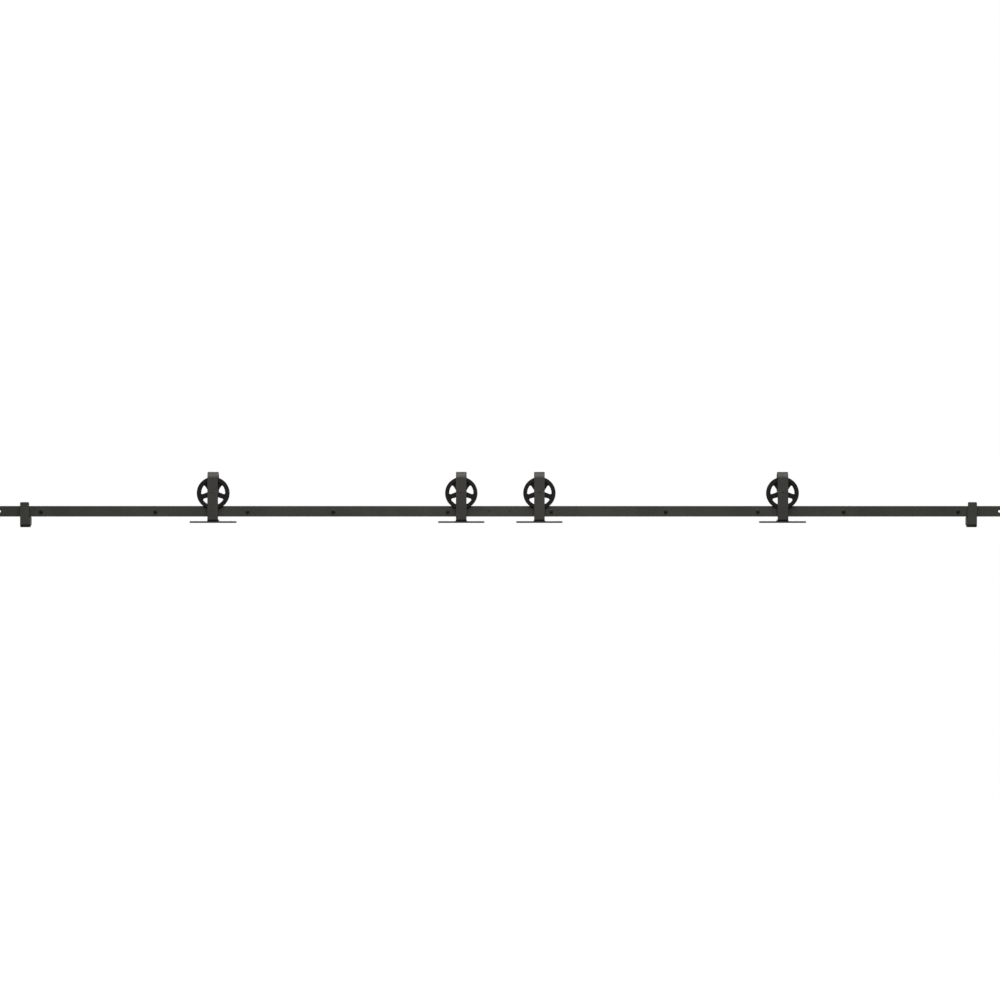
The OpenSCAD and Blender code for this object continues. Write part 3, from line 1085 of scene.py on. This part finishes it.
@dataclass
class EndStop(SubAssembly):
    """A U of strap under the rail with a rubber buffer, two pads and their screws."""

    side: Side
    body: str = "track"
    strap_t: float = 6.0 * MM
    bend_r: float = 12.0 * MM
    corner: float = 4.0 * MM
    tap_r: float = 3.1 * MM
    tap_x: float = 8.0 * MM
    key_size: float = 3.0 * MM
    screw_head_r: float = 5.1 * MM
    screw_r: float = 2.35 * MM

    def __post_init__(self) -> None:
        """Read the strap's box from the frame."""
        self.name = f"{self.side.label}_stop"
        self.low, self.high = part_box(f"{self.name}_strap")
        self.x = (self.low.x + self.high.x) / 2
        self.mid_y = (self.low.y + self.high.y) / 2
        self.rear_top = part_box("left_rail")[1].z - 4 * MM

    def strap(self) -> None:
        """The bent strap with its tapped holes."""
        half_t = self.strap_t / 2
        front, back = self.low.y + half_t, self.high.y - half_t
        bottom = self.low.z + half_t
        sharp = [(front, self.high.z), (front, bottom), (back, bottom), (back, self.rear_top)]
        path = rounded(sharp, [0, self.bend_r - half_t, self.bend_r - half_t, 0], 10, is_open=True)
        bar = BentBar(self.high.x - self.low.x, self.strap_t, path, self.corner, self.corner)
        obj = to_object(f"{self.name}_bent_strap", bar.mesh(self.x))
        for s in (-1, 1):
            ends = (-2 * MM, self.strap_t + 2 * MM)
            rings = [Ring(ends[0], 0), *(Ring(y, self.tap_r) for y in ends), Ring(ends[1], 0)]
            tool = turned(rings, Vector((self.x + s * self.tap_x, self.high.y - self.strap_t, 0)), 32)
            combine(obj, to_object("tapping", tool))
        rings = [Ring(-1 * MM, 0), Ring(-1 * MM, 6.4 * MM), Ring(3 * MM, 2.55 * MM), Ring(8 * MM, 2.55 * MM),
                 Ring(8 * MM, 0)]
        combine(obj, to_object("sinking", self.upright(rings, 40, self.low.z)))
        self.dress(obj, STOP_PAINT, f"{self.name}_strap")

    def upright(self, rings: Sequence[Ring], segments: int, foot: float) -> Mesh:
        """A shape turned about an upright axis through the strap's bottom.

        Args:
            rings: The rings, from the foot up.
            segments: Sides of a round ring.
            foot: The height of ring place 0.

        Returns:
            A closed mesh.
        """
        mesh = turned(rings, Vector(), segments)
        bmesh.ops.rotate(mesh, verts=mesh.verts, matrix=Matrix.Rotation(math.pi / 2, 3, "X"))
        bmesh.ops.translate(mesh, verts=mesh.verts, vec=(self.x, self.mid_y, foot))
        return mesh

    def buffer(self) -> None:
        """The rubber block between the legs, for the door plate to meet, and the screw that holds it."""
        low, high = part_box(f"{self.name}_buffer")
        radius = self.bend_r - self.strap_t - 0.1 * MM
        loop = rounded(rectangle(low.y, low.z, high.y, high.z), [radius, radius, 1.5 * MM, 1.5 * MM], 6)
        outer = rounded_edge(loop, low.x, high.x, 1.2 * MM, 4)
        block = slab(outer, [], lambda u, v, w: Vector((w, u, v)))
        self.piece(f"{self.name}_rubber_block", block, BUFFER_RUBBER, f"{self.name}_buffer")

        low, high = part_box(f"{self.name}_buffer_screw")
        tip = high.z - low.z
        rings = socket_rings(0.0, self.key_size, 1.8 * MM)[::-1]
        rings += [Ring(0.0, 4.9 * MM), Ring(0.2 * MM, self.screw_head_r), Ring(3 * MM, self.screw_r)]
        rings += thread(3.4 * MM, tip - 1 * MM, 2.2 * MM, 0.14 * MM, 0.8 * MM, 4)
        rings += [Ring(tip, 1.2 * MM), Ring(tip, 0.0)]
        screw = self.upright(rings, 36, low.z)
        self.piece(f"{self.name}_sunk_screw", screw, BLACKED_STEEL, f"{self.name}_buffer_screw")

    def pads(self) -> None:
        """The nylon pad on each side of the rail, and the set screws that press them."""
        low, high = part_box(f"{self.name}_pads")
        rail_low, rail_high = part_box("left_rail")
        loop = rounded(rectangle(low.x, low.z, high.x, high.z), [1.5 * MM] * 4, 4)
        blocks = []
        for near, far in ((low.y, rail_low.y), (rail_high.y, high.y)):
            outer = rounded_edge(loop, near, far, 0.6 * MM)
            blocks.append(slab(outer, [], lambda u, v, w: Vector((u, w, v))))
        self.piece(f"{self.name}_pad_pair", merged(blocks), PAD_NYLON, f"{self.name}_pads")

        low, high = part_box(f"{self.name}_set_screws")
        radius = (high.z - low.z) / 2
        length = high.y - low.y
        rings = [Ring(-length, 0.0), Ring(-length, radius * 0.6), Ring(-length + 1 * MM, radius)]
        rings += thread(-length + 1.2 * MM, -0.8 * MM, radius - 0.2 * MM, 0.2 * MM, 1 * MM)
        rings += [Ring(0.0, radius - 0.6 * MM)]
        sunk = socket_rings(0.0, self.key_size, 3 * MM)
        rings += [Ring(-ring.y, ring.r, ring.six_sided) for ring in sunk]
        screw = turned(rings, Vector(), 36)
        places = [Vector((self.x + s * self.tap_x, high.y, 0)) for s in (-1, 1)]
        obj = repeated(f"{self.name}_grub_screws", screw, BLACKED_STEEL, places_tree(), places, Turn_Step=0.5)
        self.dress(obj, BLACKED_STEEL, f"{self.name}_set_screws")

    def build(self) -> None:
        """Build every piece of the stop."""
        self.strap()
        self.buffer()
        self.pads()


@dataclass
class Hanger(SubAssembly):
    """A bent strap with its door plate, axle and nut."""

    number: int
    strap_t: float = 6.0 * MM
    foot_bend_r: float = 7.5 * MM
    top_bend_r: float = 22.0 * MM
    head_r: float = 9.8 * MM
    head_h: float = 5.0 * MM
    axle_r: float = 4.97 * MM
    axle_hole_r: float = 5.1 * MM
    nut_flats: float = 15.0 * MM
    plate_hole_r: float = 3.2 * MM
    plate_sink_r: float = 6.0 * MM
    plate_sink_depth: float = 2.5 * MM
    plate_hole_inset: Point2 = (17.5 * MM, 9.0 * MM)

    def __post_init__(self) -> None:
        """Read the strap's, the plate's and the wheel's boxes from the frame."""
        self.body = f"hanger_{self.number}"
        self.low, self.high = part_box(f"strap_{self.number}")
        self.plate_low, self.plate_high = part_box(f"door_plate_{self.number}")
        wheel_low, wheel_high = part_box(f"wheel_{self.number}")
        self.centre = (wheel_low + wheel_high) / 2
        self.x = self.centre.x
        self.leg_depth = 2 * (self.centre.y - self.low.y)

    def strap(self) -> None:
        """The bent strap, bored through both legs and countersunk at the front."""
        half_t = self.strap_t / 2
        width = self.high.x - self.low.x
        front = self.low.y + half_t
        back = self.low.y + self.leg_depth - half_t
        foot, crown = self.low.z + half_t, self.high.z - half_t
        foot_back = self.plate_high.y
        sharp = [(foot_back, foot), (front, foot), (front, crown), (back, crown),
                 (back, self.centre.z - width / 2)]
        radii = [0, self.foot_bend_r - half_t, self.top_bend_r - half_t, self.top_bend_r - half_t, 0]
        path = rounded(sharp, radii, 14, is_open=True)
        bar = BentBar(width, self.strap_t, path, 1.5 * MM, width / 2 - 0.01 * MM)
        obj = to_object(f"hanger_strap_{self.number}", bar.mesh(self.x))
        sink = self.head_r + 0.2 * MM
        past = self.leg_depth + 1 * MM
        rings = [Ring(-1 * MM, 0), Ring(-1 * MM, sink + 0.3 * MM), Ring(0.0, sink + 0.15 * MM), Ring(0.2 * MM, sink),
                 Ring(self.head_h, self.axle_hole_r), Ring(past, self.axle_hole_r), Ring(past, 0)]
        combine(obj, to_object("boring", turned(rings, Vector((self.x, self.low.y, self.centre.z)), 64)))
        self.dress(obj, STRAP_PAINT, f"strap_{self.number}")

    def plate(self) -> None:
        """The door plate with its four countersunk screw holes."""
        low, high = self.plate_low, self.plate_high
        loop = rounded(rectangle(low.x, low.y, high.x, high.y), [2.5 * MM] * 4, 5)
        outer = rounded_edge(loop, low.z, high.z, 0.4 * MM)
        hole_r, burr = self.plate_hole_r, 0.3 * MM
        profile = [(low.z, hole_r + burr), (low.z + burr, hole_r), (high.z - self.plate_sink_depth, hole_r),
                   (high.z, self.plate_sink_r)]
        reach_x = (high.x - low.x) / 2 - self.plate_hole_inset[0]
        reach_y = (high.y - low.y) / 2 - self.plate_hole_inset[1]
        holes = [round_hole(self.x + sx * reach_x, self.centre.y + sy * reach_y, profile)
                 for sx in (-1, 1) for sy in (-1, 1)]
        plate = slab(outer, holes, lambda u, v, w: Vector((u, v, w)))
        # The plate's finish is the strap's coat darkened with painted shade.
        self.piece(f"hanger_plate_{self.number}", plate, SHADED_PLATE_PAINT, f"door_plate_{self.number}")

    def welds(self) -> None:
        """A rippled weld bead along each side of the foot."""
        top = self.plate_high.z
        half = (self.high.x - self.low.x) / 2
        start = self.low.y + self.foot_bend_r + 1 * MM
        stop = self.plate_high.y - 1.5 * MM
        beads = []
        for s in (-1, 1):
            beads.append(weld_bead(Vector((self.x + s * half, start, top)), Vector((self.x + s * half, stop, top)),
                                   Vector((s, 0, 0))))
        self.piece(f"foot_welds_{self.number}", merged(beads), STRAP_PAINT, smooth_to=60)

    def axle(self) -> None:
        """The countersunk axle bolt, its bushes and its flange nut."""
        front = self.low.y
        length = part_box(f"axle_bolt_{self.number}")[1].y - front
        thread_from = self.leg_depth - 1 * MM
        rings = socket_rings(0.0, 6 * MM, 3.5 * MM)[::-1]
        rings += [Ring(0.0, self.head_r - 0.5 * MM), Ring(0.2 * MM, self.head_r),
                  Ring(0.6 * MM, self.head_r - 0.1 * MM), Ring(self.head_h, self.axle_r),
                  Ring(thread_from - 0.5 * MM, self.axle_r)]
        rings += thread(thread_from, length - 0.9 * MM, self.axle_r - 0.35 * MM, 0.33 * MM, 1.5 * MM, 8)
        rings += [Ring(length, self.axle_r - 1.1 * MM), Ring(length, 0.0)]
        bolt = turned(rings, Vector((self.x, front, self.centre.z)), 64)
        self.piece(f"axle_bolt_turned_{self.number}", bolt, STRAP_PAINT, f"axle_bolt_{self.number}")

        low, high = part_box(f"axle_nut_{self.number}")
        height = high.y - low.y
        flange = (high.z - low.z) / 2
        half = self.nut_flats / 2
        bore = 5.0 * MM
        tilt = -math.tan(math.radians(30))
        rings = [
            Ring(0.0, bore), Ring(0.0, flange - 0.5 * MM), Ring(0.4 * MM, flange), Ring(1.0 * MM, flange),
            Ring(2.1 * MM, half, six_sided=True),
            Ring(height + half * 0.06 * tilt, half, six_sided=True, fall=tilt), Ring(height, half * 0.94),
            Ring(height, bore + 0.6 * MM), Ring(height - 0.6 * MM, bore),
        ]
        nut = turned(rings, Vector((self.x, low.y, self.centre.z)), 72, closed=True)
        self.piece(f"flange_nut_{self.number}", nut, BLACKED_STEEL, f"axle_nut_{self.number}")

        low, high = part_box(f"axle_bushes_{self.number}")
        bearing_low, bearing_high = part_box(f"bearing_inner_{self.number}")
        radius = (high.z - low.z) / 2
        bushes = []
        for near, far in ((low.y, bearing_low.y), (bearing_high.y, high.y)):
            outline = [(near, radius), (far, radius), (far, self.axle_hole_r), (near, self.axle_hole_r)]
            bushes.append(turned(softened(outline, 0.4 * MM), Vector((self.x, 0, self.centre.z)), 56, closed=True))
        self.piece(f"bush_pair_{self.number}", merged(bushes), ZINC_PLATE, f"axle_bushes_{self.number}")

        outline = bearing_outline(5.0 * MM, 7.9 * MM)
        ring = turned([Ring(y, r) for y, r in outline], self.centre, 64, closed=True)
        self.piece(f"inner_race_{self.number}", ring, BEARING_STEEL, f"bearing_inner_{self.number}")

    def build(self) -> None:
        """Build every piece that slides with the strap."""
        self.strap()
        self.plate()
        self.welds()
        self.axle()


def bearing_outline(inner: float, outer: float) -> list[Point2]:
    """The (y, r) outline of one bearing ring, with its ball groove on the side that faces the balls.

    Args:
        inner: The ring's inner radius.
        outer: Its outer radius.

    Returns:
        The outline in order.
    """
    half_w, path_r, groove_r, soft = 4.5 * MM, 10 * MM, 2.46 * MM, 0.4 * MM
    groove_above = outer < path_r
    wall = outer if groove_above else inner
    lip = math.sqrt(groove_r ** 2 - (path_r - wall) ** 2)
    tilt = math.atan2(wall - path_r, lip)
    sweep = (math.pi - 2 * abs(tilt)) * (1 if tilt < 0 else -1)
    groove = [(groove_r * math.cos(a), path_r + groove_r * math.sin(a))
              for a in (tilt - sweep * i / 10 for i in range(11))]
    plain = inner if groove_above else outer
    step = soft if groove_above else -soft
    return [
        (-half_w, wall - step), (-half_w + soft, wall), *reversed(groove), (half_w - soft, wall),
        (half_w, wall - step), (half_w, plain + step), (half_w - soft, plain), (-half_w + soft, plain),
        (-half_w, plain + step),
    ]


def weld_bead(start: Vector, stop: Vector, out: Vector) -> Mesh:
    """A fillet weld between two points, with the ripples of each pool.

    Args:
        start: Where the bead starts, in the corner between foot and plate.
        stop: Where it ends.
        out: The direction away from the foot, along the plate.

    Returns:
        A closed mesh.
    """
    leg, sides, pools, per_pool = 2.6 * MM, 9, 14, 5
    mesh = bmesh.new()
    rings = []
    steps = pools * per_pool
    for i in range(steps + 1):
        t = i / steps
        ripple = 1 + 0.14 * abs(math.sin(math.pi * pools * t)) + 0.05 * math.sin(23 * t)
        end = min(1.0, math.sqrt(max(0.0, min(t, 1 - t))) * 6)
        size = leg * ripple * max(0.12, end)
        centre = start.lerp(stop, t) - out * 0.4 * MM + Vector((0, 0, -0.4 * MM))
        ring = []
        for k in range(sides):
            angle = math.pi / 2 * k / (sides - 1)
            corner = out * (size * math.cos(angle)) + Vector((0, 0, size * math.sin(angle)))
            ring.append(mesh.verts.new(centre + corner))
        ring.append(mesh.verts.new(centre))
        rings.append(ring)
    for lower, upper in zip(rings, rings[1:]):
        join_rings(mesh, lower, upper)
    for ring in (rings[0], rings[-1]):
        mesh.faces.new(ring)
    bmesh.ops.recalc_face_normals(mesh, faces=mesh.faces)
    return mesh


@dataclass
class Wheel(SubAssembly):
    """A cast wheel with five spokes and a groove for the rail, and its bearing."""

    number: int
    spokes: int = 5
    balls: int = 8
    groove_r: float = 46.0 * MM
    groove_w: float = 8.0 * MM
    rim_depth: float = 14.0 * MM
    hub_r: float = 19.0 * MM
    hub_w: float = 22.0 * MM
    web_t: float = 12.0 * MM
    hub_spoke_w: float = 19.0 * MM
    rim_spoke_w: float = 17.0 * MM
    hub_fillet: float = 2.2 * MM
    rim_fillet: float = 5.0 * MM
    ball_path_r: float = 10.0 * MM
    ball_r: float = 2.4 * MM

    def __post_init__(self) -> None:
        """Read the wheel's place and size from the frame."""
        self.body = f"wheel_{self.number}"
        low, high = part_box(f"wheel_{self.number}")
        self.centre = (low + high) / 2
        self.radius = (high.x - low.x) / 2
        self.width = high.y - low.y
        self.rim_r = self.radius - self.rim_depth

    def rim(self) -> Mesh:
        """The rim: two rounded flanges with the groove between them, and a raised band inside.

        Returns:
            A closed mesh.
        """
        half, mouth = self.width / 2, (self.width - 6 * MM) / 2
        root = self.groove_w / 2
        rim = self.rim_r
        outline = [
            (-half, rim), (-half, self.radius), (-mouth, self.radius), (-root, self.groove_r),
            (root, self.groove_r), (mouth, self.radius), (half, self.radius), (half, rim),
            (half - 4 * MM, rim - 0.6 * MM), (-half + 4 * MM, rim - 0.6 * MM),
        ]
        soft = [1.2 * MM, 1.4 * MM, 1.2 * MM, 1.0 * MM, 1.0 * MM, 1.2 * MM, 1.4 * MM, 1.2 * MM, 3 * MM, 3 * MM]
        rings = [Ring(y, r) for y, r in rounded(outline, soft, 5)]
        return turned(rings, self.centre, 160, closed=True)

    def hub(self) -> Mesh:
        """The hub with its bearing pocket, its front lip and its circlip groove.

        Returns:
            A closed mesh.
        """
        half = self.hub_w / 2
        pocket, lip, clip = 15.0 * MM, 12.0 * MM, 15.9 * MM
        seat, keep = -4.5 * MM, 4.5 * MM
        outline = [
            (-half, lip + 0.8 * MM), (-half, self.hub_r), (half, self.hub_r), (half, pocket + 0.4 * MM),
            (keep + 1.2 * MM, pocket), (keep + 1.2 * MM, clip), (keep, clip), (keep, pocket), (seat, pocket),
            (seat, lip), (-half + 0.8 * MM, lip),
        ]
        soft = [0.3 * MM, 2.5 * MM, 2.5 * MM] + [0.3 * MM] + [0.0] * 6 + [0.3 * MM]
        rings = [Ring(y, r) for y, r in rounded(outline, soft, 5)]
        return turned(rings, self.centre, 96, closed=True)

    def spoke(self) -> Mesh:
        """One spoke along +X: its sides flare into the hub and the rim on true arcs.

        Returns:
            A closed mesh.
        """
        inner, outer = self.hub_r - 1.5 * MM, self.rim_r + 1.5 * MM
        fillet, root = self.rim_fillet, self.hub_fillet
        half_hub, half_rim = self.hub_spoke_w / 2, self.rim_spoke_w / 2
        hub_x = math.sqrt((self.hub_r + root) ** 2 - (half_hub + root) ** 2)
        rim_x = math.sqrt((self.rim_r - fillet) ** 2 - (half_rim + fillet) ** 2)
        hub_turn = math.atan2(half_hub + root, hub_x)
        rim_turn = math.atan2(half_rim + fillet, rim_x)
        side = arc((0, 0), inner, 0.1 * hub_turn, 0.9 * hub_turn, 5)
        side += arc((hub_x, half_hub + root), root, hub_turn + math.pi, math.pi / 2 - hub_turn, 5)
        side += arc((rim_x, half_rim + fillet), fillet, -math.pi / 2, math.pi / 2 + rim_turn, 8)
        side += arc((0, 0), outer, rim_turn, -0.9 * rim_turn, 6)
        loop = [(x, -y) for x, y in side] + [(x, y) for x, y in reversed(side)]
        layers = rounded_edge(loop, -self.web_t / 2, self.web_t / 2, 1.8 * MM, 4)
        return slab(layers, [], lambda u, v, w: Vector((u, w, v)))

    def casting(self) -> None:
        """The whole casting, with the hub, spokes and rim joined into one skin."""
        arms = repeated("arms", self.spoke(), WHEEL_ENAMEL, ring_tree(), Count=self.spokes,
                        First_Angle=math.pi / 2, Centre=tuple(self.centre))
        wheel = to_object(f"cast_wheel_{self.number}", merged([self.rim(), self.hub()]))
        combine(wheel, arms, "UNION")
        self.dress(wheel, WHEEL_ENAMEL, f"wheel_{self.number}")

    def bearing(self) -> None:
        """The outer ring, the balls and the circlip that turn with the wheel."""
        outline = bearing_outline(12.1 * MM, 14.98 * MM)
        ring = turned([Ring(y, r) for y, r in outline], self.centre, 72, closed=True)
        self.piece(f"outer_race_{self.number}", ring, BEARING_STEEL, f"bearing_outer_{self.number}")

        ball = bmesh.new()
        bmesh.ops.create_uvsphere(ball, u_segments=24, v_segments=14, radius=self.ball_r)
        bmesh.ops.translate(ball, verts=ball.verts, vec=(self.ball_path_r, 0, 0))
        obj = repeated(f"ball_set_{self.number}", ball, BEARING_STEEL, ring_tree(), Count=self.balls,
                       First_Angle=0.0, Centre=tuple(self.centre))
        self.dress(obj, BEARING_STEEL, f"bearing_balls_{self.number}")

        low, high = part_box(f"bearing_circlip_{self.number}")
        clip = self.circlip(high.y - low.y)
        self.piece(f"circlip_{self.number}", clip, BLACKED_STEEL, f"bearing_circlip_{self.number}")

    def circlip(self, thickness: float) -> Mesh:
        """An internal circlip: an open ring with an eye at each end for the pliers.

        Args:
            thickness: Its thickness.

        Returns:
            A closed mesh.
        """
        outer, inner, gap = 15.8 * MM, 13.4 * MM, 0.22
        start = math.pi / 2 + gap
        sweep = TAU - 2 * gap
        outside = arc((0, 0), outer, start, sweep, 56)
        inside = list(reversed(arc((0, 0), inner, start + 0.12, sweep - 0.24, 50)))
        ears = []
        for s in (1, -1):
            eye = start + 0.06 if s > 0 else start + sweep - 0.06
            ears.append((11.9 * MM * math.cos(eye), 11.9 * MM * math.sin(eye)))
        loop = [*outside, ears[1], *inside, ears[0]]
        y0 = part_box(f"bearing_circlip_{self.number}")[0].y
        layers = rounded_edge(loop, 0, thickness, 0.15 * MM, 1)
        centre = self.centre
        return slab(layers, [], lambda u, v, w: Vector((centre.x + u, y0 + w, centre.z + v)))

    def build(self) -> None:
        """Build every piece that turns with the wheel."""
        self.casting()
        self.bearing()


# ---- Camera, floor and light ----


@dataclass
class Studio:
    """A level camera in front of the track, a pale floor well below it, and soft light from above."""

    distance: float = 10.4
    view_height: float = 0.0405
    view_x: float = 0.0018
    focal: float = 104.4
    floor_z: float = -2.0

    def camera(self, face_y: float) -> None:
        """The camera, level and square to the wall, at its distance from the rails' front face.

        Args:
            face_y: Where that face is.
        """
        data = bpy.data.cameras.new("camera")
        data.lens = self.focal
        data.sensor_width = 36.0
        data.clip_end = 60.0
        obj = bpy.data.objects.new("camera", data)
        obj.location = (self.view_x, face_y - self.distance, self.view_height)
        obj.rotation_euler = (math.pi / 2, 0, 0)
        bpy.context.scene.collection.objects.link(obj)
        bpy.context.scene.camera = obj

    def floor(self) -> None:
        """A pale floor that the camera sees but that throws no light up at the metal."""
        half = 9.0
        mesh = bpy.data.meshes.new("floor")
        mesh.from_pydata([(u, v, self.floor_z) for u, v in rectangle(-half, -half, half, half)], [], [(0, 1, 2, 3)])
        sheet = NodeSheet("floor_paint")
        tone = sheet.blend(sheet.noise(3, 3), shade(0.93), shade(0.96))
        mesh.materials.append(sheet.surface(Base_Color=tone, Roughness=0.9, Emission_Color=shade(1.0),
                                            Emission_Strength=0.6))
        obj = bpy.data.objects.new("floor", mesh)
        bpy.context.scene.collection.objects.link(obj)
        obj.visible_diffuse = False
        obj.visible_glossy = False

    def world(self) -> None:
        """White behind everything for the camera, and for the metal a sky that is bright above and dim below."""
        world = bpy.data.worlds.new("sky")
        bpy.context.scene.world = world
        world.use_nodes = True
        book = NodeBook(world.node_tree)
        sky = book.add("ShaderNodeSeparateXYZ", {0: book.add("ShaderNodeTexCoord").outputs["Generated"]})
        ramp = book.add("ShaderNodeMapRange", {"Value": sky.outputs["Z"], "From Min": -0.25, "From Max": 1.0,
                                               "To Min": 0.04, "To Max": 0.9})
        lit = book.add("ShaderNodeBackground", {"Strength": ramp.outputs["Result"]})
        seen = book.add("ShaderNodeBackground", {"Color": shade(1.0)})
        seeing = book.add("ShaderNodeLightPath").outputs["Is Camera Ray"]
        mix = book.add("ShaderNodeMixShader", {0: seeing, 1: lit.outputs[0], 2: seen.outputs[0]})
        book.add("ShaderNodeOutputWorld", {"Surface": mix.outputs[0]})

    def lamp(self, name: str, place: Vector, aim: Vector, size: tuple[float, float], power: float) -> None:
        """A soft rectangular lamp.

        Args:
            name: Its name.
            place: Where it is.
            aim: The point that it faces.
            size: Its width and height.
            power: Its power in watts.
        """
        data = bpy.data.lights.new(name, "AREA")
        data.shape = "RECTANGLE"
        data.size, data.size_y = size
        data.energy = power
        obj = bpy.data.objects.new(name, data)
        obj.visible_camera = False
        obj.location = place
        obj.rotation_euler = (aim - place).to_track_quat("-Z", "Y").to_euler()
        bpy.context.scene.collection.objects.link(obj)

    def build(self, face_y: float) -> None:
        """Set up the camera, floor, sky and lamps.

        Args:
            face_y: Where the rails' front face is.
        """
        self.camera(face_y)
        self.floor()
        self.world()
        middle = Vector((0, -0.04, 0.03))
        self.lamp("top_light", Vector((0, -1.2, 3.2)), middle, (5.0, 1.6), 115)
        self.lamp("front_light", Vector((0, -4.5, 2.6)), middle, (5.0, 2.0), 152)
        self.lamp("back_light", Vector((0, 4.0, 1.4)), middle, (5.0, 2.0), 120)
        settings = bpy.context.scene.view_settings
        settings.view_transform = "Standard"
        settings.look = "None"


def corners(bounds: tuple) -> list[list[float]]:
    """A box's two corners as plain lists."""
    return [[round(float(value), 6) for value in corner] for corner in bounds]


def main() -> None:
    """Build the hardware around the frame, then the studio."""
    logging.basicConfig(level=logging.INFO, format="%(name)s: %(message)s")
    track = Track()
    Studio().build(track.front)
    track.build()
    for side in Side:
        EndStop(side).build()
    for number in range(1, 5):
        Hanger(number).build()
        Wheel(number).build()


if __name__ == "__main__":
    main()
